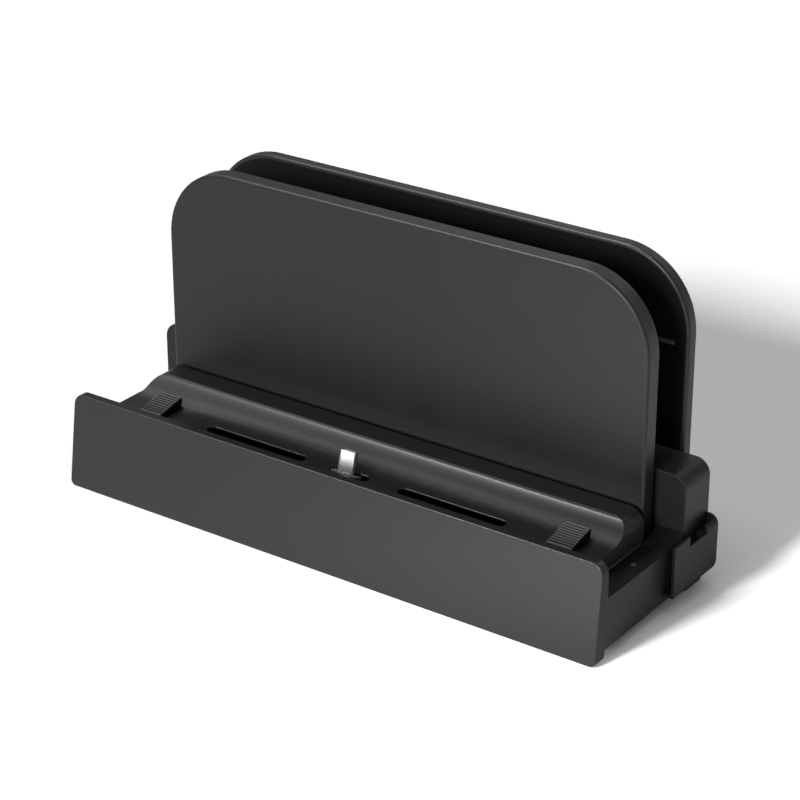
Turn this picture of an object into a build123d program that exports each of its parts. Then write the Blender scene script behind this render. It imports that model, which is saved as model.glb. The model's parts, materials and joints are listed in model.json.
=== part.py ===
from build123d import *
import os
from math import acos, cos, degrees, radians, sin

os.makedirs("parts", exist_ok=True)

# Driving sizes, all in mm: x along the length, y to the back, z up from the floor
length = 260.0
depth = 92.0
height = 132.3
bracket_reach = 4.3

# Front wall and charging tray
wall_height = 41.5
wall_lean = 5.15
wall_back = 9.3
wall_draft = 0.7
wall_lift = 0.4
wall_corner = 4.8
foot_corner = 2.6
wall_edge = 0.5
skirt_back = 7.0
tray_z = 33.0
shelf_z = 40.4
scoop_y = 29.0
scoop_r = 18.0
shelf_round = 1.6
shoulder_r = 6.8
cheek_root = 0.8
lip = 0.8
tray_end = 12.0
side_inset = 0.5
tray_back = 54.2
cradle_back = 52.1
ledge_z = 26.3
under_z = 4.8

# Panels, slot and rear base
panel_inset = 13.6
shadow_gap = 0.6
panel_front = 55.2
panel_t = 8.5
rear_panel_t = 6.1
panel_corner = 32.0
panel_edge = 1.4
panel_skin = 2.4
panel_rim = 3.0
liner_t = 1.8
rebate = 1.2
deck_z = 24.0
block_len = 25.5
block_gap = 1.4
block_rear_gap = 1.5
block_seam = 0.5
block_top = 52.8
block_corner = 6.5
block_edge = 0.5

# Wall thickness and clearances
skin = 2.2
cover_t = 2.4
fit = 0.2
slip = 0.1

# Screws: pan heads and the holes cut for them
head_r = 2.4
head_h = 1.3
shank_r = 1.25
pilot_r = shank_r + 0.05
boss_r = 3.2

# Plug, vents, pads and status light
plug_x = -2.8
plug_y = 25.4
plug_lean = 15.0
plug_w = 8.25
plug_h = 2.4
plug_reach = 9.0
port_x = -1.0
port_w = 18.7
slot_y = 25.1
slot_w = 5.0
rim_round = 0.35
vent_place = 0.1862
vent_share = 0.1938
pad_inset = 29.2
pad_w = 11.0
pad_gap = 0.2
pocket_front = 22.8
pocket_back = 34.1
pad_teeth = 10
light_inset = 5.5
light_y = 36.4
light_r = 1.0

# Values that follow from the sizes above
half = length / 2
side_half = half - side_inset
cheek_half = half - tray_end
x_mid = -bracket_reach / 2
y_front = -depth / 2
cover_z = under_z + cover_t
panel_half = half - panel_inset
panel_back = panel_front + panel_t
rear_panel_front = depth - rear_panel_t
rear_front = cradle_back + fit
rear_back = rear_panel_front - fit
cavity_back = cradle_back - skin
block_in = side_half - block_len
block_front = panel_back + block_gap
block_back = rear_panel_front - block_rear_gap
vent_x = vent_place * length
vent_len = vent_share * length
pad_x = half - pad_inset
light_x = side_half - light_inset
bracket_in = side_half + fit
bracket_out = half + bracket_reach
scoop_sweep = degrees(acos((scoop_r - (shelf_z - tray_z)) / scoop_r))
inner_r = scoop_r + skin
inner_sweep = degrees(acos((scoop_r - (shelf_z - tray_z) + skin) / inner_r))
lean_sin = sin(radians(plug_lean))
lean_cos = cos(radians(plug_lean))


# Work planes: a floor level, an upright facing the front and a cross-section along x
def level(z):
    return Plane(origin=(x_mid, y_front, z))


def upright(y):
    return Plane(origin=(x_mid, y_front + y, 0), x_dir=(1, 0, 0), z_dir=(0, -1, 0))


def section(x):
    return Plane(origin=(x_mid + x, y_front, 0), x_dir=(0, 1, 0), z_dir=(1, 0, 0))


# The plug's own plane: its normal runs along the leaning plug
plug_plane = Plane(
    origin=(x_mid + plug_x, y_front + plug_y, tray_z),
    x_dir=(1, 0, 0),
    z_dir=(0, lean_sin, lean_cos),
)

# Shared positions, each set out from the walls that it belongs to
boss_x = half - 46
rear_boss_x = half - 44
cradle_bosses = [(-boss_x, 17), (boss_x, 17), (-boss_x, cavity_back - 4.4), (boss_x, cavity_back - 4.4)]
rear_bosses = [(x, y) for y in (rear_front + 7.7, rear_back - 6.7) for x in (-rear_boss_x, rear_boss_x)]
link_z = (under_z + ledge_z) / 2 + 0.45
link_points = [(-0.231 * length, link_z), (0.231 * length, link_z)]
panel_y = panel_front + panel_t / 2
panel_points = [(share * panel_half, panel_y) for share in (-0.816, -0.49, -0.163, 0.163, 0.49, 0.816)]
rear_panel_z = (under_z + deck_z) / 2 - 0.4
rear_panel_points = [(share * panel_half, rear_panel_z) for share in (-0.687, -0.344, 0.344, 0.687)]
block_y = (block_front + block_back) / 2
block_near = side_half - 5.5
block_far = block_in + 5.5
block_points = [(block_far, block_y), (block_near, block_y), (-block_far, block_y), (-block_near, block_y)]
bracket_points = [(block_back - 4.9, 11.4), (block_back - 4.9, 19.0)]
plug_screw_x = 9.2
plug_board_w = 26.0
plug_board_d = 13.0
board_len = 0.423 * length
board_front = rear_front + 7.7
board_rear = rear_panel_front - 5.9
board_edge = 2.8
board_hole_x = board_len / 2 - 7
board_points = [
    (x, y) for y in (board_front + board_edge, board_rear - board_edge) for x in (-board_hole_x, board_hole_x)
]
board_low = 15.0
board_t = 1.6
board_top = board_low + board_t
foot_r = 6.0
foot_inset = 22.0
foot_y = 26.0
rear_foot_w = 15.2
rear_foot_d = 14.4
rear_foot_x = half - 1.6 - rear_foot_w / 2
rear_foot_y = rear_back - 1.2 - rear_foot_d / 2
plate_half = 0.085 * length
plate_points = [(-0.68 * plate_half, rear_panel_z), (0.68 * plate_half, rear_panel_z)]
inlet_w = 8.94
inlet_h = 3.26
inlet_z = board_top + inlet_h / 2
plate_top = inlet_z + 8.5
lead_z = 20.4
lead_w = 10.0

# Front wall: a leaning plate cut to an outline with drafted ends and round corners
with BuildPart() as wall_form:
    with BuildSketch(section(-half - 1)):
        with BuildLine():
            Polyline(
                (wall_lean * wall_lift / wall_height, wall_lift),
                (skirt_back, wall_lift),
                (wall_back, ledge_z),
                (wall_back, wall_height),
                (wall_lean, wall_height),
                close=True,
            )
        make_face()
    extrude(amount=length + 2)
    with BuildSketch(upright(-1)) as wall_outline:
        with BuildLine():
            Polyline(
                (-half, wall_lift),
                (half, wall_lift),
                (half - wall_draft, wall_height),
                (-half + wall_draft, wall_height),
                close=True,
            )
        make_face()
        fillet(wall_outline.vertices().group_by(Axis.Y)[-1], radius=wall_corner)
        fillet(wall_outline.vertices().group_by(Axis.Y)[0], radius=foot_corner)
    extrude(amount=-wall_back - 2, mode=Mode.INTERSECT)
    fillet(wall_form.faces().sort_by(Axis.Y)[0].edges(), radius=wall_edge)
    fillet(wall_form.faces().sort_by(Axis.Y)[-1].edges().group_by(Axis.Z)[-1], radius=wall_edge)

# Tray: a scooped cross-section run along x, trimmed to round shoulders at both ends
with BuildPart() as tray_form:
    with BuildSketch(section(-cheek_half - 1)) as tray_profile:
        with BuildLine():
            foot = Polyline(
                (wall_back - 3, ledge_z - 1),
                (wall_back - 3, tray_z + 2.5),
                (wall_back, tray_z + 2.5),
            )
            root = CenterArc((wall_back + 2.5, tray_z + 2.5), 2.5, 180, 90)
            Line(root @ 1, (scoop_y, tray_z))
            scoop = CenterArc((scoop_y, tray_z + scoop_r), scoop_r, -90, scoop_sweep)
            Polyline(
                scoop @ 1,
                (tray_back, shelf_z),
                (tray_back, ledge_z),
                (cradle_back, ledge_z),
                (cradle_back, ledge_z - 1),
                foot @ 0,
            )
        make_face()
        edge_point = (scoop_y + scoop_r * sin(radians(scoop_sweep)), shelf_z)
        fillet(tray_profile.vertices().sort_by_distance(edge_point)[0], radius=shelf_round)
    extrude(amount=2 * cheek_half + 2)
    with BuildSketch(upright(0)) as shoulder_outline:
        with Locations((0, shelf_z / 2)):
            Rectangle(2 * cheek_half, shelf_z)
        fillet(shoulder_outline.vertices().group_by(Axis.Y)[-1], radius=shoulder_r)
    extrude(amount=-depth, mode=Mode.INTERSECT)

# Hollow of the cradle: the scoop set in by the wall thickness, with the wider base below it
with BuildPart() as cradle_cavity:
    with BuildSketch(section(-cheek_half)):
        with BuildLine():
            roof = CenterArc((scoop_y, tray_z + scoop_r), inner_r, -90, inner_sweep)
            Polyline(
                roof @ 1,
                (cavity_back, shelf_z - skin),
                (cavity_back, under_z),
                (skirt_back, under_z),
                (wall_back + 1, tray_z - skin),
                roof @ 0,
            )
        make_face()
    extrude(amount=2 * cheek_half)
    with BuildSketch(upright(0)) as inner_shoulder:
        with Locations((0, (shelf_z - skin) / 2)):
            Rectangle(2 * (cheek_half - skin), shelf_z - skin)
        fillet(inner_shoulder.vertices().group_by(Axis.Y)[-1], radius=shoulder_r - skin)
    extrude(amount=-depth, mode=Mode.INTERSECT)
    with BuildSketch(section(-(side_half - skin))):
        with BuildLine():
            Polyline(
                (skirt_back, under_z),
                (cavity_back, under_z),
                (cavity_back, ledge_z - skin),
                (wall_back + 0.5, ledge_z - skin),
                close=True,
            )
        make_face()
    extrude(amount=2 * (side_half - skin))

# Cradle shell: one moulding of front wall, tray, end ledges and side walls
with BuildPart() as cradle_shell:
    with BuildSketch(level(under_z)):
        with Locations((0, (wall_back - 3 + cradle_back) / 2)):
            Rectangle(2 * side_half, cradle_back - wall_back + 3)
    extrude(amount=ledge_z - under_z)
    add(tray_form.part)
    add(wall_form.part)
    # A cove runs along the foot of each shoulder, on the end ledge
    with BuildSketch(upright(wall_back - 1)):
        with BuildLine():
            cove = CenterArc((cheek_half + cheek_root, ledge_z + cheek_root), cheek_root, 180, 90)
            Polyline(
                cove @ 1,
                (cheek_half + cheek_root, ledge_z - 0.4),
                (cheek_half - 0.4, ledge_z - 0.4),
                (cheek_half - 0.4, ledge_z + cheek_root),
                cove @ 0,
            )
        make_face()
        mirror(about=Plane.YZ)
    extrude(amount=wall_back - 1 - cradle_back)
    add(cradle_cavity.part, mode=Mode.SUBTRACT)
    # Screw posts hang from the tray and end on the base cover
    with BuildSketch(level(cover_z)):
        with Locations(*cradle_bosses[:2]):
            Circle(boss_r)
    extrude(amount=tray_z - skin / 2 - cover_z)
    with BuildSketch(level(cover_z)):
        with Locations(*cradle_bosses[2:]):
            Circle(boss_r)
    extrude(amount=shelf_z - skin + 0.3 - cover_z)
    with BuildSketch(level(cover_z)):
        with Locations(*cradle_bosses):
            Circle(pilot_r)
    extrude(amount=11, mode=Mode.SUBTRACT)
    # Posts behind the back wall take the screws that join the two bases
    with BuildSketch(upright(cavity_back + 0.2)):
        with Locations(*link_points):
            Circle(boss_r)
    extrude(amount=4.7)
    with BuildSketch(upright(cradle_back)):
        with Locations(*link_points):
            Circle(pilot_r)
    extrude(amount=skin + 3.6, mode=Mode.SUBTRACT)
    # Plug port and the two vent slots in the tray floor
    with BuildSketch(level(tray_z - skin - 0.5)):
        with Locations((port_x, slot_y)):
            SlotOverall(port_w, slot_w)
        with Locations((-vent_x, slot_y), (vent_x, slot_y)):
            SlotOverall(vent_len, slot_w)
    extrude(amount=skin + 1.5, mode=Mode.SUBTRACT)
    # Their upper rims are rounded
    rims = cradle_shell.edges().filter_by_position(Axis.Z, tray_z - 0.05, tray_z + 0.05)
    slot_low = y_front + slot_y - slot_w / 2
    rims = rims.filter_by_position(Axis.Y, slot_low - 0.05, slot_low + slot_w + 0.05)
    fillet(rims, radius=rim_round)
    # The tray is thinned from below round them, so that each has a thin lip
    with BuildSketch(level(tray_z - skin - 0.5)):
        with Locations((port_x, slot_y)):
            SlotOverall(port_w + 4, slot_w + 4)
        with Locations((-vent_x, slot_y), (vent_x, slot_y)):
            SlotOverall(vent_len + 4, slot_w + 4)
    extrude(amount=skin + 0.5 - lip, mode=Mode.SUBTRACT)
    # Pockets for the two grip pads
    with BuildSketch(level(tray_z - skin - 0.5)) as pad_pockets:
        with Locations((-pad_x, (pocket_front + pocket_back) / 2), (pad_x, (pocket_front + pocket_back) / 2)):
            RectangleRounded(pad_w + 2 * pad_gap, pocket_back - pocket_front, 0.8)
    extrude(amount=skin + 4, mode=Mode.SUBTRACT)
    # Hole for the status light and the way out for the inner lead
    with BuildSketch(level(ledge_z + 0.5)):
        with Locations((light_x, light_y)):
            Circle(light_r + slip)
    extrude(amount=-skin - 1, mode=Mode.SUBTRACT)
    with BuildSketch(upright(cradle_back + 0.5)):
        with Locations((plug_x, lead_z)):
            Rectangle(lead_w + 2, 2.6)
    extrude(amount=skin + 1, mode=Mode.SUBTRACT)
cradle_shell.part.label = "cradle_shell"
export_step(cradle_shell.part, "parts/cradle_shell.step")

# Base cover of the cradle, with rests below the pads and the plug board
rest_low = -7.5
rest_y = 3.6
with BuildPart() as cradle_base:
    with BuildSketch(level(under_z)):
        with Locations((0, (skirt_back + 0.4 + cavity_back) / 2)):
            Rectangle(2 * (side_half - skin - fit), cavity_back - skirt_back - 0.4 - 2 * fit)
    extrude(amount=cover_t)
    with BuildSketch(level(cover_z)):
        with Locations((-pad_x, 28.5), (pad_x, 28.5)):
            Rectangle(9, 8)
    extrude(amount=tray_z - skin - 1.7 - cover_z)
    for side in (-1, 1):
        with BuildSketch(section(plug_x + side * 6 - 0.8)):
            with BuildLine():
                Polyline(
                    (plug_y - rest_y * lean_cos + rest_low * lean_sin, cover_z),
                    (plug_y + rest_y * lean_cos + rest_low * lean_sin, cover_z),
                    (
                        plug_y + rest_y * lean_cos + rest_low * lean_sin,
                        tray_z - rest_y * lean_sin + rest_low * lean_cos,
                    ),
                    (
                        plug_y - rest_y * lean_cos + rest_low * lean_sin,
                        tray_z + rest_y * lean_sin + rest_low * lean_cos,
                    ),
                    close=True,
                )
            make_face()
        extrude(amount=1.6)
    with BuildSketch(level(under_z)):
        with Locations(*cradle_bosses):
            Circle(head_r + slip)
    extrude(amount=head_h + slip, mode=Mode.SUBTRACT)
    with BuildSketch(level(under_z)):
        with Locations(*cradle_bosses):
            Circle(shank_r + slip)
    extrude(amount=cover_t, mode=Mode.SUBTRACT)
cradle_base.part.label = "cradle_base"
export_step(cradle_base.part, "parts/cradle_base.step")

# Screws of the cradle's base cover
with BuildPart() as cradle_screws:
    with BuildSketch(level(under_z + slip)):
        with Locations(*cradle_bosses):
            Circle(head_r)
    extrude(amount=head_h)
    with BuildSketch(level(under_z + slip + head_h)):
        with Locations(*cradle_bosses):
            Circle(shank_r)
    extrude(amount=9)
cradle_screws.part.label = "cradle_screws"
export_step(cradle_screws.part, "parts/cradle_screws.step")

# Grip pads: a toothed wedge on top, a stem in the pocket and a flange under the tray
pad_front = pocket_front - 2.6
pad_rear = pocket_back + 0.2
tooth_run = (pad_rear - pad_front) / pad_teeth
teeth = []
for tooth in range(pad_teeth):
    tooth_y = pad_front + tooth * tooth_run
    tooth_z = tray_z + 1.3 + 2.9 * tooth / pad_teeth
    teeth += [(tooth_y, tooth_z), (tooth_y + 0.25 * tooth_run, tooth_z + 0.75)]
pad_outline = [(pocket_front + 0.3, tray_z - skin - 0.1), (pocket_front + 0.3, tray_z + 0.1)]
pad_outline += [(pad_front + 0.2, tray_z + 0.6)] + teeth
pad_outline += [(pad_rear, tray_z + 4.2), (pad_rear, tray_z + 2.2), (pocket_back - 0.3, tray_z + 1.7)]
pad_outline += [(pocket_back - 0.3, tray_z - skin - 0.1)]
with BuildPart() as grip_pad_left:
    with BuildSketch(section(-pad_x - pad_w / 2)):
        with BuildLine():
            Polyline(*pad_outline, close=True)
        make_face()
    extrude(amount=pad_w)
    with BuildSketch(level(tray_z - skin - 0.1)):
        with Locations((-pad_x, 28.4)):
            Rectangle(pad_w + 2 * pad_gap + 2.4, 13.4)
    extrude(amount=-1.5)
grip_pad_left.part.label = "grip_pad_left"
export_step(grip_pad_left.part, "parts/grip_pad_left.step")

with BuildPart() as grip_pad_right:
    with BuildSketch(section(pad_x - pad_w / 2)):
        with BuildLine():
            Polyline(*pad_outline, close=True)
        make_face()
    extrude(amount=pad_w)
    with BuildSketch(level(tray_z - skin - 0.1)):
        with Locations((pad_x, 28.4)):
            Rectangle(pad_w + 2 * pad_gap + 2.4, 13.4)
    extrude(amount=-1.5)
grip_pad_right.part.label = "grip_pad_right"
export_step(grip_pad_right.part, "parts/grip_pad_right.step")

# Plug: a steel shell with a plastic insert, held in a carrier on its own small board
carrier_w = 14.4
flange_top = -4.4
flange_low = -6.4
with BuildPart() as plug_shell:
    with BuildSketch(plug_plane.offset(flange_low)):
        SlotOverall(plug_w, plug_h)
        SlotOverall(plug_w - 0.6, plug_h - 0.6, mode=Mode.SUBTRACT)
    extrude(amount=plug_reach - flange_low)
plug_shell.part.label = "plug_shell"
export_step(plug_shell.part, "parts/plug_shell.step")

with BuildPart() as plug_insert:
    with BuildSketch(plug_plane.offset(flange_low)):
        SlotOverall(plug_w - 0.64, plug_h - 0.64)
    extrude(amount=plug_reach - 0.4 - flange_low)
    with BuildSketch(plug_plane.offset(plug_reach - 0.4)):
        RectangleRounded(6.7, 0.8, 0.3)
    extrude(amount=-5, mode=Mode.SUBTRACT)
plug_insert.part.label = "plug_insert"
export_step(plug_insert.part, "parts/plug_insert.step")

with BuildPart() as plug_carrier:
    with BuildSketch(plug_plane.offset(flange_low)):
        RectangleRounded(24, 9, 1)
    extrude(amount=flange_top - flange_low)
    with BuildSketch(plug_plane.offset(flange_top)):
        SlotOverall(carrier_w, 3.8)
    extrude(amount=-0.5 - flange_top)
    with BuildSketch(plug_plane.offset(flange_low)):
        SlotOverall(plug_w + 0.1, plug_h + 0.1)
    extrude(amount=-flange_low, mode=Mode.SUBTRACT)
    with BuildSketch(plug_plane.offset(flange_low)):
        with Locations((-plug_screw_x, 0), (plug_screw_x, 0)):
            Circle(pilot_r)
    extrude(amount=1.6, mode=Mode.SUBTRACT)
plug_carrier.part.label = "plug_carrier"
export_step(plug_carrier.part, "parts/plug_carrier.step")

with BuildPart() as plug_board:
    with BuildSketch(plug_plane.offset(flange_low)):
        Rectangle(plug_board_w, plug_board_d)
        with Locations((-plug_screw_x, 0), (plug_screw_x, 0)):
            Circle(shank_r + slip, mode=Mode.SUBTRACT)
    extrude(amount=-1)
plug_board.part.label = "plug_board"
export_step(plug_board.part, "parts/plug_board.step")

with BuildPart() as plug_board_screws:
    with BuildSketch(plug_plane.offset(flange_low - 1)):
        with Locations((-plug_screw_x, 0), (plug_screw_x, 0)):
            Circle(head_r - 0.4)
    extrude(amount=-1)
    with BuildSketch(plug_plane.offset(flange_low - 1)):
        with Locations((-plug_screw_x, 0), (plug_screw_x, 0)):
            Circle(shank_r)
    extrude(amount=2.4)
plug_board_screws.part.label = "plug_board_screws"
export_step(plug_board_screws.part, "parts/plug_board_screws.step")

# Status light: a clear pin in the right-hand ledge with a collar under it
with BuildPart() as status_light:
    with BuildSketch(level(ledge_z - skin - 1)):
        with Locations((light_x, light_y)):
            Circle(light_r + 0.8)
    extrude(amount=1)
    with BuildSketch(level(ledge_z - skin)):
        with Locations((light_x, light_y)):
            Circle(light_r)
    extrude(amount=skin + 0.15)
status_light.part.label = "status_light"
export_step(status_light.part, "parts/status_light.step")

# Rear base: a hollow box with a ramp at each end, open below
ramp_in = cheek_half + 0.4
ramp_back = block_front - 0.6
ramp_foot = ledge_z + 0.2
ramp_top = ledge_z + 2.9
with BuildPart() as rear_base:
    with BuildSketch(level(under_z)):
        with Locations((0, (rear_front + rear_back) / 2)):
            Rectangle(2 * side_half, rear_back - rear_front)
    extrude(amount=deck_z - under_z)
    with BuildSketch(level(under_z)):
        with Locations((0, (rear_front + rear_back) / 2)):
            Rectangle(2 * (side_half - skin), rear_back - rear_front - 2 * skin)
    extrude(amount=deck_z - under_z - skin, mode=Mode.SUBTRACT)
    for side in (-1, 1):
        with BuildSketch(section(side * side_half)):
            with BuildLine():
                Polyline(
                    (rear_front, deck_z - 1),
                    (ramp_back, deck_z - 1),
                    (ramp_back, ramp_top),
                    (rear_front, ramp_foot),
                    close=True,
                )
            make_face()
        extrude(amount=-side * (side_half - ramp_in))
    # Screw posts for the bottom cover
    with BuildSketch(level(cover_z)):
        with Locations(*rear_bosses):
            Circle(boss_r)
    extrude(amount=deck_z - skin / 2 - cover_z)
    with BuildSketch(level(cover_z)):
        with Locations(*rear_bosses):
            Circle(pilot_r)
    extrude(amount=11, mode=Mode.SUBTRACT)
    # Holes up through the deck for the front panel and the end blocks
    with BuildSketch(level(deck_z - skin - 0.5)):
        with Locations(*panel_points, *block_points):
            Circle(shank_r + slip)
    extrude(amount=skin + 1, mode=Mode.SUBTRACT)
    # Holes through the front wall to the cradle and through the back wall to the rear panel
    with BuildSketch(upright(rear_front - 0.5)):
        with Locations(*link_points):
            Circle(shank_r + slip)
        with Locations((plug_x, lead_z)):
            Rectangle(lead_w + 2, 2.6)
    extrude(amount=-skin - 1, mode=Mode.SUBTRACT)
    with BuildSketch(upright(rear_back + 0.5)):
        with Locations(*rear_panel_points, *plate_points):
            Circle(shank_r + slip)
        with Locations((0, inlet_z)):
            SlotOverall(inlet_w + 0.4, inlet_h + 0.4)
    extrude(amount=skin + 1, mode=Mode.SUBTRACT)
    # Holes through the right-hand wall to the side bracket
    with BuildSketch(section(side_half + 0.5)):
        with Locations(*bracket_points):
            Circle(shank_r + slip)
    extrude(amount=-skin - 1, mode=Mode.SUBTRACT)
rear_base.part.label = "rear_base"
export_step(rear_base.part, "parts/rear_base.step")

# Bottom cover of the rear base, with posts for the main board
with BuildPart() as rear_cover:
    with BuildSketch(level(under_z)):
        with Locations((0, (rear_front + rear_back) / 2)):
            Rectangle(2 * (side_half - skin - fit), rear_back - rear_front - 2 * skin - 2 * fit)
    extrude(amount=cover_t)
    with BuildSketch(level(cover_z)):
        with Locations(*board_points):
            Circle(boss_r)
    extrude(amount=board_low - cover_z)
    with BuildSketch(level(board_low)):
        with Locations(*board_points):
            Circle(pilot_r)
    extrude(amount=-6, mode=Mode.SUBTRACT)
    with BuildSketch(level(under_z)):
        with Locations(*rear_bosses):
            Circle(head_r + slip)
    extrude(amount=head_h + slip, mode=Mode.SUBTRACT)
    with BuildSketch(level(under_z)):
        with Locations(*rear_bosses):
            Circle(shank_r + slip)
    extrude(amount=cover_t, mode=Mode.SUBTRACT)
rear_cover.part.label = "rear_cover"
export_step(rear_cover.part, "parts/rear_cover.step")

with BuildPart() as rear_screws:
    with BuildSketch(level(under_z + slip)):
        with Locations(*rear_bosses):
            Circle(head_r)
    extrude(amount=head_h)
    with BuildSketch(level(under_z + slip + head_h)):
        with Locations(*rear_bosses):
            Circle(shank_r)
    extrude(amount=9)
rear_screws.part.label = "rear_screws"
export_step(rear_screws.part, "parts/rear_screws.step")

# Screws that join the cradle to the rear base
with BuildPart() as link_screws:
    with BuildSketch(upright(rear_front + skin)):
        with Locations(*link_points):
            Circle(head_r)
    extrude(amount=-head_h)
    with BuildSketch(upright(rear_front + skin)):
        with Locations(*link_points):
            Circle(shank_r)
    extrude(amount=skin + fit + 5.2)
link_screws.part.label = "link_screws"
export_step(link_screws.part, "parts/link_screws.step")

# Front panel: a moulded shell with a solid foot, closed at the back by its own cover
panel_low = deck_z + slip
pocket_low = panel_low + 12
lid_edge = rebate - slip
pocket_half = panel_half - panel_rim
with BuildPart() as front_panel:
    with BuildSketch(upright(panel_front)) as panel_outline:
        with Locations((0, (panel_low + height) / 2)):
            Rectangle(2 * panel_half, height - panel_low)
        fillet(panel_outline.vertices().group_by(Axis.Y)[-1], radius=panel_corner)
    extrude(amount=-panel_t)
    fillet(front_panel.faces().sort_by(Axis.Y)[0].edges(), radius=panel_edge)
    fillet(front_panel.faces().sort_by(Axis.Y)[-1].edges(), radius=panel_edge)
    # A shadow gap follows the cradle's outline across the panel's foot
    with BuildSketch(upright(panel_front)) as foot_gap:
        with Locations((0, (shelf_z + shadow_gap) / 2)):
            Rectangle(2 * (cheek_half + shadow_gap), shelf_z + shadow_gap)
        fillet(foot_gap.vertices().group_by(Axis.Y)[-1], radius=shoulder_r + shadow_gap)
    extrude(amount=-2 * shadow_gap, mode=Mode.SUBTRACT)
    with BuildSketch(upright(panel_back)) as panel_pocket:
        with Locations((0, (pocket_low + height - panel_rim) / 2)):
            Rectangle(2 * pocket_half, height - panel_rim - pocket_low)
        fillet(panel_pocket.vertices().group_by(Axis.Y)[-1], radius=panel_corner - panel_rim)
    extrude(amount=panel_t - panel_skin, mode=Mode.SUBTRACT)
    with BuildSketch(upright(panel_back)) as panel_rebate:
        with Locations((0, (pocket_low + height - panel_rim) / 2)):
            Rectangle(2 * (pocket_half + rebate), height - panel_rim - pocket_low + 2 * rebate)
        fillet(panel_rebate.vertices().group_by(Axis.Y)[-1], radius=panel_corner - panel_rim + rebate)
    extrude(amount=liner_t, mode=Mode.SUBTRACT)
    with BuildSketch(level(panel_low)):
        with Locations(*panel_points):
            Circle(pilot_r)
    extrude(amount=8, mode=Mode.SUBTRACT)
front_panel.part.label = "front_panel"
export_step(front_panel.part, "parts/front_panel.step")

with BuildPart() as front_panel_back:
    with BuildSketch(upright(panel_back)) as back_outline:
        with Locations((0, (pocket_low + height - panel_rim) / 2)):
            Rectangle(2 * (pocket_half + lid_edge), height - panel_rim - pocket_low + 2 * lid_edge)
        fillet(back_outline.vertices().group_by(Axis.Y)[-1], radius=panel_corner - panel_rim + rebate - slip)
    extrude(amount=liner_t)
front_panel_back.part.label = "front_panel_back"
export_step(front_panel_back.part, "parts/front_panel_back.step")

with BuildPart() as panel_screws:
    with BuildSketch(level(deck_z - skin)):
        with Locations(*panel_points):
            Circle(head_r)
    extrude(amount=-head_h)
    with BuildSketch(level(deck_z - skin)):
        with Locations(*panel_points):
            Circle(shank_r)
    extrude(amount=skin + slip + 7)
panel_screws.part.label = "panel_screws"
export_step(panel_screws.part, "parts/panel_screws.step")

# Rear panel: runs down as the back wall, with a pocket towards the slot and room for the inlet plate
rear_low = deck_z + 10
port_hole_w = 13.4
port_hole_h = 7.6
plate_edge = 0.5
with BuildPart() as rear_panel:
    with BuildSketch(upright(rear_panel_front)) as rear_outline:
        with Locations((0, (under_z + height) / 2)):
            Rectangle(2 * panel_half, height - under_z)
        fillet(rear_outline.vertices().group_by(Axis.Y)[-1], radius=panel_corner)
        fillet(rear_outline.vertices().group_by(Axis.Y)[0], radius=3)
    extrude(amount=-rear_panel_t)
    fillet(rear_panel.faces().sort_by(Axis.Y)[0].edges(), radius=panel_edge)
    fillet(rear_panel.faces().sort_by(Axis.Y)[-1].edges(), radius=panel_edge)
    with BuildSketch(upright(rear_panel_front)) as rear_pocket:
        with Locations((0, (rear_low + height - panel_rim) / 2)):
            Rectangle(2 * pocket_half, height - panel_rim - rear_low)
        fillet(rear_pocket.vertices().group_by(Axis.Y)[-1], radius=panel_corner - panel_rim)
    extrude(amount=-rear_panel_t + panel_skin, mode=Mode.SUBTRACT)
    with BuildSketch(upright(rear_panel_front)) as rear_rebate:
        with Locations((0, (rear_low + height - panel_rim) / 2)):
            Rectangle(2 * (pocket_half + rebate), height - panel_rim - rear_low + 2 * rebate)
        fillet(rear_rebate.vertices().group_by(Axis.Y)[-1], radius=panel_corner - panel_rim + rebate)
    extrude(amount=-liner_t, mode=Mode.SUBTRACT)
    with BuildSketch(upright(rear_panel_front)):
        with Locations(*rear_panel_points):
            Circle(pilot_r)
    extrude(amount=-4.2, mode=Mode.SUBTRACT)
    with BuildSketch(upright(rear_panel_front - 0.5)):
        with Locations((0, (plate_top + fit + under_z - 1) / 2)):
            Rectangle(2 * (plate_half + fit), plate_top + fit - under_z + 1)
    extrude(amount=-rear_panel_t - 1, mode=Mode.SUBTRACT)
rear_panel.part.label = "rear_panel"
export_step(rear_panel.part, "parts/rear_panel.step")

# Inlet plate: fills the middle of the rear panel's foot, with the opening for the power plug's grip
with BuildPart() as inlet_plate:
    with BuildSketch(upright(rear_panel_front)):
        with Locations((0, (under_z + plate_top) / 2)):
            Rectangle(2 * plate_half, plate_top - under_z)
    extrude(amount=-rear_panel_t)
    fillet(inlet_plate.faces().sort_by(Axis.Y)[-1].edges(), radius=plate_edge)
    with BuildSketch(upright(rear_panel_front)):
        with Locations(*plate_points):
            Circle(pilot_r)
    extrude(amount=-4.2, mode=Mode.SUBTRACT)
    with BuildSketch(upright(rear_panel_front - 0.5)):
        with Locations((0, inlet_z)):
            SlotOverall(port_hole_w, port_hole_h)
    extrude(amount=-rear_panel_t - 1, mode=Mode.SUBTRACT)
    fillet(inlet_plate.faces().sort_by(Axis.Y)[-1].inner_wires().edges(), radius=plate_edge)
inlet_plate.part.label = "inlet_plate"
export_step(inlet_plate.part, "parts/inlet_plate.step")

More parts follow.
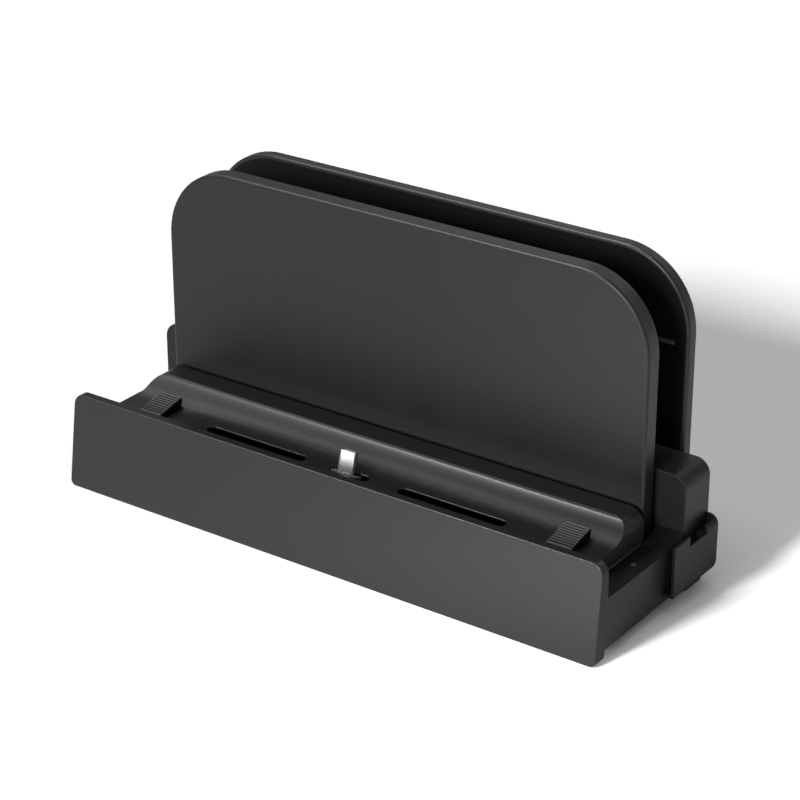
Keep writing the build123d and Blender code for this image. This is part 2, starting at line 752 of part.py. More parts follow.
strip_z = 96.9
strip_h = 1.6
strip_half = 110.0
with BuildPart() as rear_panel_liner:
    with BuildSketch(upright(rear_panel_front)) as liner_outline:
        with Locations((0, (rear_low + height - panel_rim) / 2)):
            Rectangle(2 * (pocket_half + lid_edge), height - panel_rim - rear_low + 2 * lid_edge)
        fillet(liner_outline.vertices().group_by(Axis.Y)[-1], radius=panel_corner - panel_rim + rebate - slip)
    extrude(amount=-liner_t)
    with BuildSketch(upright(rear_panel_front)):
        with Locations((0, strip_z)):
            Rectangle(2 * strip_half, strip_h)
    extrude(amount=-0.8, mode=Mode.SUBTRACT)
rear_panel_liner.part.label = "rear_panel_liner"
export_step(rear_panel_liner.part, "parts/rear_panel_liner.step")

# Soft strip let into the liner, standing into the slot
with BuildPart() as slot_strip:
    with BuildSketch(upright(rear_panel_front + 0.8)):
        with Locations((0, strip_z)):
            Rectangle(2 * strip_half - 2 * slip, strip_h - slip)
    extrude(amount=2.0)
    fillet(slot_strip.faces().sort_by(Axis.Y)[0].edges(), radius=0.5)
slot_strip.part.label = "slot_strip"
export_step(slot_strip.part, "parts/slot_strip.step")

with BuildPart() as rear_panel_screws:
    with BuildSketch(upright(rear_back - skin)):
        with Locations(*rear_panel_points, *plate_points):
            Circle(head_r)
    extrude(amount=head_h)
    with BuildSketch(upright(rear_back - skin)):
        with Locations(*rear_panel_points, *plate_points):
            Circle(shank_r)
    extrude(amount=-skin - fit - 3.8)
rear_panel_screws.part.label = "rear_panel_screws"
export_step(rear_panel_screws.part, "parts/rear_panel_screws.step")

# End blocks that close the slot, hollow below with two screw posts each
block_mid = (block_in + side_half) / 2
block_low = deck_z + slip
with BuildPart() as end_block_right:
    with BuildSketch(upright(block_front)) as block_outline:
        with Locations((block_mid, (block_low + block_top) / 2)):
            Rectangle(block_len, block_top - block_low)
        fillet(block_outline.vertices().group_by(Axis.Y)[-1].sort_by(Axis.X)[-1], radius=block_corner)
    extrude(amount=block_front - block_back)
    block_rim = end_block_right.faces().sort_by(Axis.Y)[0].edges().group_by(Axis.Z)[1:]
    fillet([edge for group in block_rim for edge in group], radius=block_edge)
    block_rim = end_block_right.faces().sort_by(Axis.Y)[-1].edges().group_by(Axis.Z)[1:]
    fillet([edge for group in block_rim for edge in group], radius=block_edge)
    # A shadow gap along the foot of the outer side
    with BuildSketch(level(block_low)):
        with Locations((side_half, block_y)):
            Rectangle(2 * block_seam, block_back - block_front + 1)
    extrude(amount=block_seam, mode=Mode.SUBTRACT)
    with BuildSketch(level(block_low)):
        with Locations((block_mid, block_y)):
            Rectangle(block_len - 2 * skin, block_back - block_front - 2 * skin)
    extrude(amount=block_top - block_low - 4.4, mode=Mode.SUBTRACT)
    with BuildSketch(level(block_low)):
        with Locations(*block_points[:2]):
            Circle(boss_r)
    extrude(amount=block_top - block_low - 4)
    with BuildSketch(level(block_low)):
        with Locations(*block_points[:2]):
            Circle(pilot_r)
    extrude(amount=8, mode=Mode.SUBTRACT)
end_block_right.part.label = "end_block_right"
export_step(end_block_right.part, "parts/end_block_right.step")

with BuildPart() as end_block_left:
    with BuildSketch(upright(block_front)) as left_outline:
        with Locations((-block_mid, (block_low + block_top) / 2)):
            Rectangle(block_len, block_top - block_low)
        fillet(left_outline.vertices().group_by(Axis.Y)[-1].sort_by(Axis.X)[0], radius=block_corner)
    extrude(amount=block_front - block_back)
    left_rim = end_block_left.faces().sort_by(Axis.Y)[0].edges().group_by(Axis.Z)[1:]
    fillet([edge for group in left_rim for edge in group], radius=block_edge)
    left_rim = end_block_left.faces().sort_by(Axis.Y)[-1].edges().group_by(Axis.Z)[1:]
    fillet([edge for group in left_rim for edge in group], radius=block_edge)
    with BuildSketch(level(block_low)):
        with Locations((-side_half, block_y)):
            Rectangle(2 * block_seam, block_back - block_front + 1)
    extrude(amount=block_seam, mode=Mode.SUBTRACT)
    with BuildSketch(level(block_low)):
        with Locations((-block_mid, block_y)):
            Rectangle(block_len - 2 * skin, block_back - block_front - 2 * skin)
    extrude(amount=block_top - block_low - 4.4, mode=Mode.SUBTRACT)
    with BuildSketch(level(block_low)):
        with Locations(*block_points[2:]):
            Circle(boss_r)
    extrude(amount=block_top - block_low - 4)
    with BuildSketch(level(block_low)):
        with Locations(*block_points[2:]):
            Circle(pilot_r)
    extrude(amount=8, mode=Mode.SUBTRACT)
end_block_left.part.label = "end_block_left"
export_step(end_block_left.part, "parts/end_block_left.step")

with BuildPart() as block_screws:
    with BuildSketch(level(deck_z - skin)):
        with Locations(*block_points):
            Circle(head_r)
    extrude(amount=-head_h)
    with BuildSketch(level(deck_z - skin)):
        with Locations(*block_points):
            Circle(shank_r)
    extrude(amount=skin + slip + 7)
block_screws.part.label = "block_screws"
export_step(block_screws.part, "parts/block_screws.step")

# Side bracket on the right: solid at the back, a thin cover in front with a sloped roof and a notch
bracket_front = rear_front - 2.0
bracket_back = block_back - 0.3
bracket_low = 8.2
bracket_top = 30.3
bracket_skin = 1.2
notch_back = bracket_back - 8.7
notch_front = notch_back - 13.6
notch_z = ledge_z - 0.4
channel_w = bracket_out - bracket_skin - bracket_in
channel_back = bracket_back - bracket_skin
with BuildPart() as side_bracket:
    with BuildSketch(section(bracket_in)) as bracket_side:
        with Locations(((bracket_front + bracket_back) / 2, (bracket_low + bracket_top) / 2)):
            Rectangle(bracket_back - bracket_front, bracket_top - bracket_low)
        fillet(bracket_side.vertices().group_by(Axis.Y)[0].sort_by(Axis.X)[-1], radius=2.4)
    extrude(amount=bracket_out - bracket_in)
    # Notch in the rim, with the rear part rounded and the front rim eased
    with BuildSketch(level(notch_z)):
        with Locations((bracket_in - 1, (notch_front + notch_back) / 2)):
            Rectangle(12, notch_back - notch_front, align=(Align.MIN, Align.CENTER))
    extrude(amount=10, mode=Mode.SUBTRACT)
    rim = side_bracket.edges().filter_by(Axis.Y).group_by(Axis.X)[-1].group_by(Axis.Z)[-1]
    fillet(rim.sort_by(Axis.Y)[-1], radius=4.2)
    fillet(rim.sort_by(Axis.Y)[0], radius=0.6)
    # A channel behind the outer wall, open to the front and the top
    with BuildSketch(level(bracket_low + bracket_skin)):
        with Locations((bracket_in - 1, (bracket_front - 1 + notch_back) / 2)):
            Rectangle(channel_w + 1, notch_back - bracket_front + 1, align=(Align.MIN, Align.CENTER))
    extrude(amount=bracket_top, mode=Mode.SUBTRACT)
    with BuildSketch(level(notch_z)):
        with Locations((bracket_in - 1, (notch_back - 1 + channel_back) / 2)):
            Rectangle(channel_w + 1, channel_back - notch_back + 1, align=(Align.MIN, Align.CENTER))
    extrude(amount=bracket_top, mode=Mode.SUBTRACT)
    with BuildSketch(section(bracket_in)):
        with Locations(*bracket_points):
            Circle(pilot_r)
    extrude(amount=3.2, mode=Mode.SUBTRACT)
side_bracket.part.label = "side_bracket"
export_step(side_bracket.part, "parts/side_bracket.step")

with BuildPart() as bracket_screws:
    with BuildSketch(section(side_half - skin)):
        with Locations(*bracket_points):
            Circle(head_r)
    extrude(amount=-head_h)
    with BuildSketch(section(side_half - skin)):
        with Locations(*bracket_points):
            Circle(shank_r)
    extrude(amount=skin + fit + 2.8)
bracket_screws.part.label = "bracket_screws"
export_step(bracket_screws.part, "parts/bracket_screws.step")

# Main board on the rear cover's posts, with the power inlet at its back edge
with BuildPart() as main_board:
    with BuildSketch(level(board_low)):
        with Locations((0, (board_front + board_rear) / 2)):
            Rectangle(board_len, board_rear - board_front)
        with Locations(*board_points):
            Circle(shank_r + slip, mode=Mode.SUBTRACT)
    extrude(amount=board_t)
main_board.part.label = "main_board"
export_step(main_board.part, "parts/main_board.step")

with BuildPart() as board_screws:
    with BuildSketch(level(board_top)):
        with Locations(*board_points):
            Circle(head_r)
    extrude(amount=head_h)
    with BuildSketch(level(board_top)):
        with Locations(*board_points):
            Circle(shank_r)
    extrude(amount=-board_t - 5)
board_screws.part.label = "board_screws"
export_step(board_screws.part, "parts/board_screws.step")

inlet_back = rear_panel_front
inlet_len = 7.3
with BuildPart() as inlet_shell:
    with BuildSketch(upright(inlet_back)):
        with Locations((0, inlet_z)):
            SlotOverall(inlet_w, inlet_h)
            SlotOverall(inlet_w - 0.6, inlet_h - 0.6, mode=Mode.SUBTRACT)
    extrude(amount=inlet_len)
inlet_shell.part.label = "inlet_shell"
export_step(inlet_shell.part, "parts/inlet_shell.step")

with BuildPart() as inlet_tongue:
    with BuildSketch(upright(inlet_back - inlet_len)):
        with Locations((0, inlet_z)):
            SlotOverall(inlet_w - 0.64, inlet_h - 0.64)
    extrude(amount=-2)
    with BuildSketch(upright(inlet_back - inlet_len + 2)):
        with Locations((0, inlet_z)):
            Rectangle(6.7, 0.7)
    extrude(amount=-4.6)
inlet_tongue.part.label = "inlet_tongue"
export_step(inlet_tongue.part, "parts/inlet_tongue.step")

# Flat lead from the plug board through both walls to the main board
lead_t = 0.3
lead_path = [
    (plug_y + 4.8 * lean_cos + flange_low * lean_sin, tray_z - 4.8 * lean_sin + flange_low * lean_cos),
    (plug_y + 6.7 * lean_cos + flange_low * lean_sin, tray_z - 6.7 * lean_sin + flange_low * lean_cos),
    (cavity_back - 5, lead_z - lead_t / 2),
    (rear_front + skin + 2.5, lead_z - lead_t / 2),
    (board_front + 0.3, board_top),
    (board_front + 2, board_top),
]
with BuildPart() as inner_lead:
    with BuildSketch(section(plug_x - lead_w / 2)):
        with BuildLine():
            Polyline(*lead_path, *[(y, z + lead_t) for y, z in reversed(lead_path)], close=True)
        make_face()
    extrude(amount=lead_w)
inner_lead.part.label = "inner_lead"
export_step(inner_lead.part, "parts/inner_lead.step")

# Rubber feet under both bases
with BuildPart() as front_feet:
    with BuildSketch(level(0)):
        with Locations((foot_inset - half, foot_y), (half - foot_inset, foot_y)):
            Circle(foot_r)
    extrude(amount=under_z)
    fillet(front_feet.faces().group_by(Axis.Z)[0].edges(), radius=0.5)
front_feet.part.label = "front_feet"
export_step(front_feet.part, "parts/front_feet.step")

with BuildPart() as rear_feet:
    with BuildSketch(level(0)):
        with Locations((-rear_foot_x, rear_foot_y), (rear_foot_x, rear_foot_y)):
            RectangleRounded(rear_foot_w, rear_foot_d, 2)
    extrude(amount=under_z)
    fillet(rear_feet.faces().group_by(Axis.Z)[0].edges(), radius=0.5)
rear_feet.part.label = "rear_feet"
export_step(rear_feet.part, "parts/rear_feet.step")
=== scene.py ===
import bpy
import json
import math
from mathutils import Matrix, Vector


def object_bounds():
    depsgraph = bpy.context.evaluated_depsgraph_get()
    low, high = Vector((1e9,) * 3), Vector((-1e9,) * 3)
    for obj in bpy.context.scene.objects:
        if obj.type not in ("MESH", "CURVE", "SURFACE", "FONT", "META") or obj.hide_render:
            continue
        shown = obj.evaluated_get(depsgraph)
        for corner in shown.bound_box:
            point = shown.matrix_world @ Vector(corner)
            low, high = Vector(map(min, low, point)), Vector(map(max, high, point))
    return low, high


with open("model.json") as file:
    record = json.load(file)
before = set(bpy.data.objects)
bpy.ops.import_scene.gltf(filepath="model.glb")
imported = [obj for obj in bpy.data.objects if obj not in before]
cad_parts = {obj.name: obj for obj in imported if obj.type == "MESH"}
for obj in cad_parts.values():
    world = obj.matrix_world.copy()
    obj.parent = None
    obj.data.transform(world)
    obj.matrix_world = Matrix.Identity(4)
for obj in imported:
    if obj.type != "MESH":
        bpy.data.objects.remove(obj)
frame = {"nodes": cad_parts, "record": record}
nodes = frame["nodes"]
cad_box = [list(corner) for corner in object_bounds()]


# Helpers

def linear(hex_colour):
    """An sRGB hex colour as the linear values that a shader takes."""
    channels = [int(hex_colour[i:i + 2], 16) / 255 for i in (1, 3, 5)]
    return tuple(c / 12.92 if c <= 0.04045 else ((c + 0.055) / 1.055) ** 2.4 for c in channels) + (1.0,)


def add(tree, kind, inputs=None, **settings):
    """Adds one node: settings are its own options, inputs are values or outputs that feed its sockets."""
    made = tree.nodes.new(kind)
    for name, value in settings.items():
        setattr(made, name, value)
    for name, value in (inputs or {}).items():
        if isinstance(value, bpy.types.NodeSocket):
            tree.links.new(value, made.inputs[name])
        else:
            made.inputs[name].default_value = value
    return made


def new_material(name):
    """An empty material, ready for its nodes."""
    material = bpy.data.materials.new(name)
    material.use_nodes = True
    material.node_tree.nodes.clear()
    return material, material.node_tree


def per_metre(size_mm):
    """Pattern scale for a feature of this size in millimetres, on coordinates in metres."""
    return 1000.0 / size_mm


def endways(tree):
    """How squarely a face looks to the dock's left or right: 1 for an end face, 0 for the front or top."""
    normal = add(tree, "ShaderNodeNewGeometry").outputs["Normal"]
    facing = add(tree, "ShaderNodeSeparateXYZ", {"Vector": normal})
    return add(tree, "ShaderNodeMath", {0: facing.outputs["X"]}, operation="ABSOLUTE").outputs["Value"]


# A Mix node's colour sockets share their names with its number sockets, so they go by place
MIX_A, MIX_B, MIX_RESULT = 6, 7, 2
NUMBER_A, NUMBER_B = 2, 3
# Most of a noise pattern lies between these two values
noise_low, noise_high = 0.3, 0.7
# Rays that tell how much open sky a spot sees
sky_rays = 8


# Moulded plastic

# The tool's grit is about 0.1 mm, drawn at 0.5 mm so that it shows
grit_mm = 0.5
# Slow changes of tone from the flow of the plastic, a few centimetres across
flow_mm = 45.0
# How far the grit changes the roughness, how strongly it stands out, and its depth in metres
grit_sheen = 0.03
grit_strength = 0.03
grit_depth = 0.0002
# Roughness of the skin that the tool's polish leaves on a piece
skin_roughness = 0.18
# A face is dulled from the first of these on, and fully at the second, as endways counts it
end_starts, end_full = 0.75, 0.95


def moulded_plastic(name, dark, light, roughness, skin=0.0, ior=1.5, end_dulling=0.0):
    """ABS or a like plastic, moulded in a spark-eroded tool: dark, with a soft even sheen and a fine grit.

    The faces at the ends, which drag along the tool as the piece leaves it, can be duller.
    """
    material, tree = new_material(name)
    place = add(tree, "ShaderNodeTexCoord").outputs["Object"]
    grit = add(tree, "ShaderNodeTexNoise", {"Vector": place, "Scale": per_metre(grit_mm), "Detail": 2.0})
    flow = add(tree, "ShaderNodeTexNoise", {"Vector": place, "Scale": per_metre(flow_mm), "Detail": 2.0})
    tone = add(tree, "ShaderNodeMix", {"Factor": flow.outputs["Fac"], MIX_A: linear(dark),
                                       MIX_B: linear(light)}, data_type="RGBA")
    sheen = add(tree, "ShaderNodeMapRange", {"Value": grit.outputs["Fac"],
                                             "From Min": noise_low, "From Max": noise_high,
                                             "To Min": roughness - grit_sheen,
                                             "To Max": roughness + grit_sheen})
    bump = add(tree, "ShaderNodeBump", {"Height": grit.outputs["Fac"], "Strength": grit_strength,
                                        "Distance": grit_depth})
    rough = sheen.outputs["Result"]
    if end_dulling:
        dull = add(tree, "ShaderNodeMapRange", {"Value": endways(tree),
                                                "From Min": end_starts, "From Max": end_full,
                                                "To Min": 0.0, "To Max": end_dulling})
        rough = add(tree, "ShaderNodeMath", {0: rough, 1: dull.outputs["Result"]}).outputs["Value"]
    shader = add(tree, "ShaderNodeBsdfPrincipled", {"Base Color": tone.outputs[MIX_RESULT],
                                                    "Roughness": rough, "IOR": ior,
                                                    "Coat Weight": skin, "Coat Roughness": skin_roughness,
                                                    "Normal": bump.outputs["Normal"]})
    add(tree, "ShaderNodeOutputMaterial", {"Surface": shader.outputs["BSDF"]})
    return material


# Moulded rubber

# Patches of bloom are about 3 mm across. The grain is about 0.1 mm, drawn at 0.4 mm so that it shows
bloom_mm = 3.0
grain_mm = 0.4
# How strongly the grain stands out, and its depth in metres
grain_strength = 0.06
grain_depth = 0.0002
rubber_roughness = 0.65
# How deep the hollows between the grip pads' teeth are, in metres. This is also how far their painted shade
# reaches
tooth_depth = 0.0008
# Shares of open sky at which the painted shade of a hollow ends and a ridge is painted fully pale as lit
hollow_ends, ridge_starts = 0.74, 0.98


def moulded_rubber(name, dark, light, ior=1.5, painted_hollow_shade=False):
    """Thermoplastic rubber, moulded: dull, with a fine grain and a faint dusty bloom.

    Where its hollows are shaded, the ridges are painted pale as lit, and the hollows between them and the
    flanks are painted dark as shade.
    """
    material, tree = new_material(name)
    place = add(tree, "ShaderNodeTexCoord").outputs["Object"]
    if painted_hollow_shade:
        # Painted shade: hollows that see little open sky and flanks that face the dock's ends are painted
        # dark, and the tops of the ridges are painted pale as lit
        open_sky = add(tree, "ShaderNodeAmbientOcclusion", {"Distance": tooth_depth}, samples=sky_rays)
        ridge = add(tree, "ShaderNodeMapRange", {"Value": open_sky.outputs["AO"], "From Min": hollow_ends,
                                                 "From Max": ridge_starts})
        top = add(tree, "ShaderNodeMath", {0: 1.0, 1: endways(tree)}, operation="SUBTRACT", use_clamp=True)
        painted_light_share = add(tree, "ShaderNodeMath", {0: ridge.outputs["Result"], 1: top.outputs["Value"]},
                   operation="MULTIPLY")
        shade = painted_light_share.outputs["Value"]
    else:
        bloom = add(tree, "ShaderNodeTexNoise", {"Vector": place, "Scale": per_metre(bloom_mm),
                                                 "Detail": 4.0})
        shade = bloom.outputs["Fac"]
    grain = add(tree, "ShaderNodeTexNoise", {"Vector": place, "Scale": per_metre(grain_mm), "Detail": 1.0})
    tone = add(tree, "ShaderNodeMix", {"Factor": shade, MIX_A: linear(dark), MIX_B: linear(light)},
               data_type="RGBA")
    bump = add(tree, "ShaderNodeBump", {"Height": grain.outputs["Fac"], "Strength": grain_strength,
                                        "Distance": grain_depth})
    shader = add(tree, "ShaderNodeBsdfPrincipled", {"Base Color": tone.outputs[MIX_RESULT],
                                                    "Roughness": rubber_roughness, "IOR": ior,
                                                    "Normal": bump.outputs["Normal"]})
    add(tree, "ShaderNodeOutputMaterial", {"Surface": shader.outputs["BSDF"]})
    return material


# Steel, boards, film and acrylic

# Tool lines on steel are about 0.05 mm apart, drawn at 0.25 mm so that they show, and run round the piece
line_mm = 0.25
line_stretch = (0.05, 0.05, 1.0)
# How far the lines change the roughness
line_sheen = 0.04
# Tracks on a board lie 12 mm apart, and their width is a share of that
track_mm = 12.0
track_width = 0.03
# Conductors on the film are about 1 mm apart, drawn at 6.283 mm so that they show. A wave repeats after
# this share of its unit
conductor_mm = 6.283
wave_length = 2.0 * math.pi / 20.0
# Clouds in the clear pin
cloud_mm = 0.8


def formed_steel(name, dark, light, roughness):
    """Plated steel, drawn or turned: bright, with fine lines that run round it."""
    material, tree = new_material(name)
    place = add(tree, "ShaderNodeTexCoord").outputs["Object"]
    flat = add(tree, "ShaderNodeMapping", {"Vector": place, "Scale": line_stretch})
    lines = add(tree, "ShaderNodeTexNoise", {"Vector": flat.outputs["Vector"], "Scale": per_metre(line_mm)})
    tone = add(tree, "ShaderNodeMix", {"Factor": lines.outputs["Fac"], MIX_A: linear(dark),
                                       MIX_B: linear(light)}, data_type="RGBA")
    sheen = add(tree, "ShaderNodeMapRange", {"Value": lines.outputs["Fac"],
                                             "From Min": noise_low, "From Max": noise_high,
                                             "To Min": roughness - line_sheen,
                                             "To Max": roughness + line_sheen})
    shader = add(tree, "ShaderNodeBsdfPrincipled", {"Base Color": tone.outputs[MIX_RESULT], "Metallic": 1.0,
                                                    "Roughness": sheen.outputs["Result"]})
    add(tree, "ShaderNodeOutputMaterial", {"Surface": shader.outputs["BSDF"]})
    return material


def lacquered_laminate(name):
    """Glass-epoxy laminate under green lacquer: tracks show through as a lighter green."""
    material, tree = new_material(name)
    place = add(tree, "ShaderNodeTexCoord").outputs["Object"]
    tracks = add(tree, "ShaderNodeTexBrick", {"Vector": place, "Color1": linear("#0f4a2a"),
                                              "Color2": linear("#12552f"), "Mortar": linear("#2d7a45"),
                                              "Scale": per_metre(track_mm), "Mortar Size": track_width})
    shader = add(tree, "ShaderNodeBsdfPrincipled", {"Base Color": tracks.outputs["Color"],
                                                    "Roughness": 0.35, "IOR": 1.5})
    add(tree, "ShaderNodeOutputMaterial", {"Surface": shader.outputs["BSDF"]})
    return material


def printed_film(name):
    """Polyester film with printed conductors: pale, with fine darker stripes along it."""
    material, tree = new_material(name)
    place = add(tree, "ShaderNodeTexCoord").outputs["Object"]
    stripes = add(tree, "ShaderNodeTexWave", {"Vector": place,
                                              "Scale": per_metre(conductor_mm) * wave_length},
                  wave_type="BANDS", bands_direction="X")
    tone = add(tree, "ShaderNodeMix", {"Factor": stripes.outputs["Fac"], MIX_A: linear("#8d8672"),
                                       MIX_B: linear("#d8d2c0")}, data_type="RGBA")
    shader = add(tree, "ShaderNodeBsdfPrincipled", {"Base Color": tone.outputs[MIX_RESULT],
                                                    "Roughness": 0.4, "IOR": 1.57})
    add(tree, "ShaderNodeOutputMaterial", {"Surface": shader.outputs["BSDF"]})
    return material


def clear_acrylic(name):
    """Clear acrylic, moulded: a small glossy point with a cloudy core."""
    material, tree = new_material(name)
    place = add(tree, "ShaderNodeTexCoord").outputs["Object"]
    cloud = add(tree, "ShaderNodeTexNoise", {"Vector": place, "Scale": per_metre(cloud_mm), "Detail": 1.0})
    tone = add(tree, "ShaderNodeMix", {"Factor": cloud.outputs["Fac"], MIX_A: linear("#a0a1a2"),
                                       MIX_B: linear("#b6b7b8")}, data_type="RGBA")
    shader = add(tree, "ShaderNodeBsdfPrincipled", {"Base Color": tone.outputs[MIX_RESULT],
                                                    "Roughness": 0.2, "IOR": 1.49})
    add(tree, "ShaderNodeOutputMaterial", {"Surface": shader.outputs["BSDF"]})
    return material


# The finishes of the dock's pieces

charcoal_abs = moulded_plastic("ABS_moulded_charcoal", "#19191a", "#1d1d1e", 0.34, 0.15, end_dulling=0.5)
panel_abs = moulded_plastic("ABS_moulded_charcoal_panel", "#19191a", "#1d1d1e", 0.42)
# A lighter copy of the charcoal plastic for the end blocks: painted light on their faces
block_abs_painted_lighter = moulded_plastic("ABS_moulded_charcoal_block_painted_lighter", "#212122", "#252526", 0.42, ior=1.36)
# A darker copy of the charcoal plastic for the bracket: painted shade on its faces
bracket_abs_painted_darker = moulded_plastic("ABS_moulded_charcoal_bracket_painted_darker", "#161617", "#19191a", 0.45, ior=1.30)
liner_abs = moulded_plastic("ABS_moulded_black_liner", "#060607", "#080809", 0.62, ior=1.32)
cover_abs = moulded_plastic("ABS_moulded_black_cover", "#131314", "#181819", 0.50)
carrier_pbt = moulded_plastic("PBT_moulded_grey", "#b6b6b7", "#bebebf", 0.45)
insert_lcp = moulded_plastic("LCP_moulded_black", "#0c0c0c", "#101010", 0.40)
# The grip pads run from painted shade in their hollows and on their flanks to painted light on their ridges
pad_rubber = moulded_rubber("TPR_moulded_black", "#020202", "#646464", ior=1.25, painted_hollow_shade=True)
strip_rubber = moulded_rubber("TPR_moulded_grey", "#4a4a4b", "#555556")
foot_rubber = moulded_rubber("rubber_moulded_black_foot", "#0e0e0e", "#131313")
plug_steel = formed_steel("steel_nickel_drawn", "#e0e0e0", "#eaeae8", 0.31)
screw_steel = formed_steel("steel_zinc_turned", "#8a8a88", "#a2a29e", 0.35)
laminate = lacquered_laminate("laminate_green_lacquer")
film = printed_film("polyester_film_printed")
acrylic = clear_acrylic("acrylic_moulded_clear")

finishes = {
    "shell_plastic": charcoal_abs,
    "base_plastic": charcoal_abs,
    "panel_plastic": panel_abs,
    "block_plastic": block_abs_painted_lighter,
    "bracket_plastic": bracket_abs_painted_darker,
    "liner_plastic": liner_abs,
    "cover_plastic": cover_abs,
    "carrier_plastic": carrier_pbt,
    "insert_plastic": insert_lcp,
    "pad_rubber": pad_rubber,
    "strip_rubber": strip_rubber,
    "foot_rubber": foot_rubber,
    "plug_steel": plug_steel,
    "screw_steel": screw_steel,
    "board_laminate": laminate,
    "lead_film": film,
    "light_clear": acrylic,
}
for entry in frame["record"]["subparts"]:
    for slot in nodes[entry["node"]].material_slots:
        slot.material = finishes[entry["material_slot"]]


# Studio: all places and widths are in metres

white = "#ffffff"
paper_white = "#eeeeee"
floor_width = 16.0
# Towards the lamp that throws the shadow on the floor, and how wide that lamp looks, in degrees
key_direction = Vector((-0.44, -1.91, 1.0)).normalized()
key_spread = 9.0
# What the lamps on the dock are aimed at
dock_middle = Vector((0.0, 0.0, 0.05))
# How bright the floor is in the lamp's light and in the shadow, where 1 is white
floor_lit = 0.62
floor_shade = 0.38
# Where the front wall stands, and how far before and behind it the painted contact shadow on the floor's glow
# starts and is full
wall_foot = cad_box[0][1]
shade_before, shade_behind = 0.01, 0.02
# How far the painted contact shadow spreads from the dock
painted_shadow_reach = 0.06
# How much of the white that the camera sees shows in the gloss of dark plastic and in metal
white_in_gloss = 0.2

# Lamps on the floor: name, place, width, and the tone that white paper straight below would show
floor_lamps = (
    ("front_pool", (0.09, -0.20, 0.12), 0.1, 2.6),
    ("floor_sky", (0.0, 0.3, 1.8), 2.4, 0.07),
)
# Lamps on the dock: name, place, width, the tone that a white card facing it would show, and the pieces
# that it lights
tray_pieces = ("cradle_shell", "grip_pad_left", "grip_pad_right")
upright_pieces = ("front_panel", "rear_panel", "end_block_left", "end_block_right")
dock_lamps = (
    ("key_lamp", (0.1, -2.3, 0.9), 0.8, 0.71, nodes),
    ("left_lamp", (-1.1, -0.3, 1.2), 0.8, 0.07, nodes),
    ("left_back_lamp", (-0.8, 0.3, 1.35), 0.8, 0.12, nodes),
    ("back_lamp", (0.2, 1.5, 1.0), 0.8, 0.05, nodes),
    ("back_low_lamp", (-0.6, 1.5, 0.5), 0.8, 0.04, nodes),
    ("right_lamp", (1.1, 0.7, 0.6), 0.6, 0.05, nodes),
    ("edge_lamp", (-0.80, -1.29, 1.12), 0.3, 0.54, tray_pieces),
    ("rim_lamp", (-0.5, -0.35, 1.5), 0.4, 0.70, upright_pieces),
    ("plug_lamp", (-0.5, -0.85, 0.35), 0.4, 0.66, ("plug_shell",)),
)

# Camera: its place, its turn in degrees, and its lens and sensor in millimetres
camera_place = (0.52902, -0.73682, 0.48642)
camera_turn = (64.736, 0.0, 35.321)
camera_lens = 112.5
camera_sensor = 36.0


def white_shown(tree):
    """How much white a ray sees: all of it from the camera and through clear pieces, a little in gloss."""
    rays = add(tree, "ShaderNodeLightPath")
    direct = add(tree, "ShaderNodeMath", {0: rays.outputs["Is Camera Ray"],
                                          1: rays.outputs["Is Transmission Ray"]}, operation="MAXIMUM")
    shown = add(tree, "ShaderNodeMath", {0: rays.outputs["Is Glossy Ray"], 1: white_in_gloss,
                                         2: direct.outputs["Value"]},
                operation="MULTIPLY_ADD", use_clamp=True)
    return shown.outputs["Value"]


def aimed_lamp(name, light, place, aim, lit):
    """Stands a lamp at a place, turned to the aim, and lets it light these objects only."""
    lamp = bpy.data.objects.new(name, light)
    bpy.context.scene.collection.objects.link(lamp)
    lamp.location = place
    lamp.rotation_euler = (aim - Vector(place)).to_track_quat("-Z", "Y").to_euler()
    group = bpy.data.collections.new(name + "_lights")
    for piece in lit:
        group.objects.link(piece)
    lamp.light_linking.receiver_collection = group


def soft_lamp(name, place, width, tone, aim, lit):
    """A square lamp, strong enough for a white card at the aim that faces it to show this tone."""
    light = bpy.data.lights.new(name, "AREA")
    light.size = width
    light.energy = tone * math.pi ** 2 * (Vector(place) - aim).length_squared
    aimed_lamp(name, light, place, aim, lit)


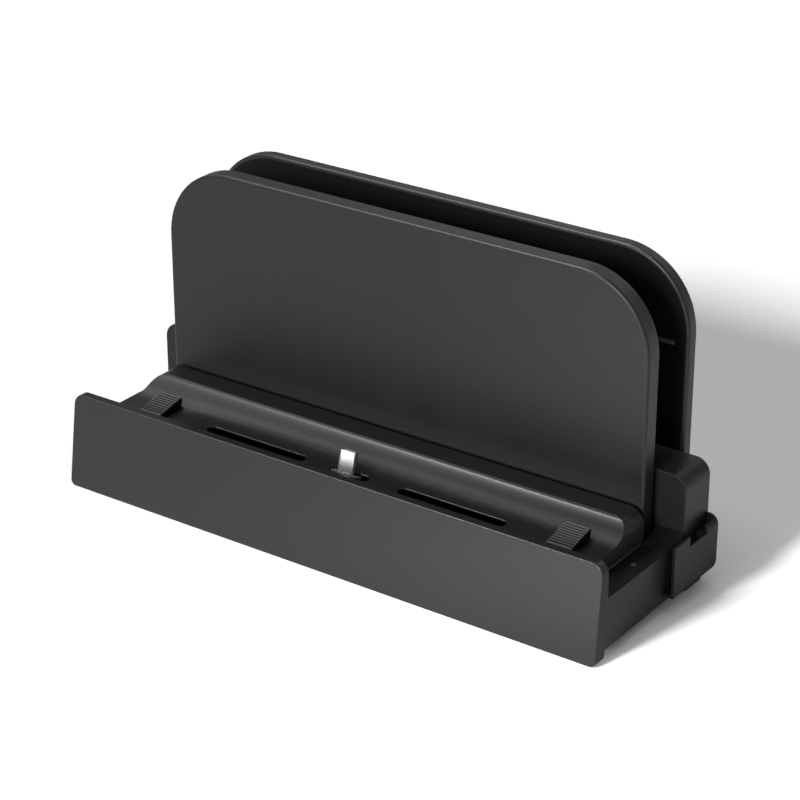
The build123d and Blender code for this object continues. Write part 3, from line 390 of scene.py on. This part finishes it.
def studio_floor():
    """A wide sheet of matt white paper that takes the shadow.

    A glow that the camera sees lifts it to white, and close to the dock the glow is dimmed into a painted
    contact shadow.
    """
    bpy.ops.object.select_all(action="DESELECT")
    bpy.ops.mesh.primitive_plane_add(size=floor_width, location=(0, 0, 0))
    floor = bpy.context.object
    floor.name = "studio_floor"
    material, tree = new_material("paper_matt_white")
    # Behind the front wall, where the main lamp doesn't reach, the floor's glow is painted darker close to
    # the dock by how little open sky each spot sees: a painted contact shadow
    place = add(tree, "ShaderNodeTexCoord").outputs["Object"]
    across = add(tree, "ShaderNodeSeparateXYZ", {"Vector": place})
    behind = add(tree, "ShaderNodeMapRange", {"Value": across.outputs["Y"],
                                              "From Min": wall_foot - shade_before,
                                              "From Max": wall_foot + shade_behind})
    open_sky = add(tree, "ShaderNodeAmbientOcclusion", {"Distance": painted_shadow_reach}, samples=sky_rays)
    shade = add(tree, "ShaderNodeMix", {"Factor": behind.outputs["Result"], NUMBER_A: 1.0,
                                        NUMBER_B: open_sky.outputs["AO"]})
    most = add(tree, "ShaderNodeMath", {0: white_shown(tree), 1: floor_shade}, operation="MULTIPLY")
    level = add(tree, "ShaderNodeMath", {0: most.outputs["Value"], 1: shade.outputs[0]}, operation="MULTIPLY")
    paper = add(tree, "ShaderNodeBsdfDiffuse", {"Color": linear(paper_white)})
    glow = add(tree, "ShaderNodeEmission", {"Color": linear(white), "Strength": level.outputs["Value"]})
    both = add(tree, "ShaderNodeAddShader", {0: paper.outputs["BSDF"], 1: glow.outputs["Emission"]})
    add(tree, "ShaderNodeOutputMaterial", {"Surface": both.outputs["Shader"]})
    floor.data.materials.append(material)
    return floor


def studio_light(floor):
    """A lamp for the floor's shadow, soft lamps for the floor, and soft lamps for the dock."""
    light = bpy.data.lights.new("floor_lamp", "SUN")
    light.angle = math.radians(key_spread)
    light.energy = floor_lit * math.pi / (linear(paper_white)[0] * key_direction.z)
    aimed_lamp("floor_lamp", light, dock_middle + key_direction, dock_middle, [floor])
    for name, place, width, tone in floor_lamps:
        soft_lamp(name, place, width, tone, Vector((place[0], place[1], 0.0)), [floor])
    for name, place, width, tone, lit in dock_lamps:
        soft_lamp(name, place, width, tone, dock_middle, [nodes[piece] for piece in lit])


def studio_backdrop():
    """White behind the dock for the camera, and a little of it in the gloss."""
    world = bpy.data.worlds.new("studio_backdrop")
    bpy.context.scene.world = world
    world.use_nodes = True
    tree = world.node_tree
    tree.nodes.clear()
    sky = add(tree, "ShaderNodeBackground", {"Color": linear(white), "Strength": white_shown(tree)})
    add(tree, "ShaderNodeOutputWorld", {"Surface": sky.outputs["Background"]})


def studio_camera():
    """A long lens from the right and above."""
    camera = bpy.data.cameras.new("camera")
    camera.sensor_width = camera_sensor
    camera.lens = camera_lens
    view = bpy.data.objects.new("camera", camera)
    bpy.context.scene.collection.objects.link(view)
    view.location = camera_place
    view.rotation_euler = [math.radians(angle) for angle in camera_turn]
    bpy.context.scene.camera = view


studio_light(studio_floor())
studio_backdrop()
studio_camera()
bpy.context.scene.view_settings.view_transform = "Standard"

bpy.context.view_layer.update()
